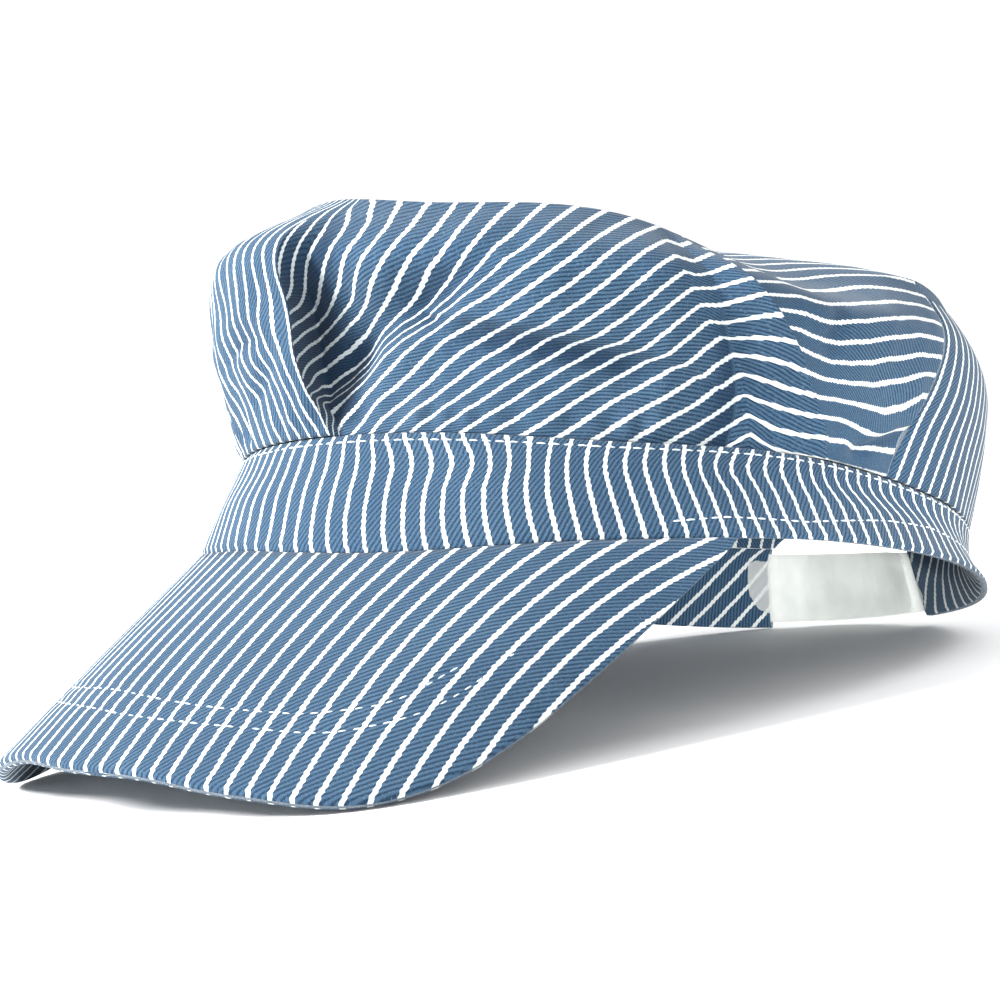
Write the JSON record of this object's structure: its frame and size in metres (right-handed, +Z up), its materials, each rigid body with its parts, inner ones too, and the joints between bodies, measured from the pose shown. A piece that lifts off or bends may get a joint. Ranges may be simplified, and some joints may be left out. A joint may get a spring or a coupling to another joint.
{
  "type": "railroad engineer cap",
  "caption": "Soft striped work cap with a pleated crown, a tall band, a curved stiff peak and a snap strap across an arched back opening.",
  "frame": {"origin": "centre of the bounding box on the floor the cap rests on", "axes": "-Y toward the peak, +X toward the wearer's left, +Z up; the cap rests tipped back on the peak's corners and the back of its band"},
  "size_m": [0.167, 0.2562, 0.1166],
  "materials": {
    "peak_cloth": "blue twill with fine white stripes",
    "band_cloth": "blue twill with fine white stripes",
    "crown_cloth": "blue twill with fine white stripes",
    "back_cloth": "blue twill with fine white stripes",
    "strap_plastic": "satin off-white"
  },
  "bodies": {
    "root": {"visor": "peak_cloth", "band": "band_cloth", "crown": "crown_cloth", "back_panel": "back_cloth", "strap_inner": "strap_plastic", "strap_outer": "strap_plastic"}
  },
  "joints": []
}
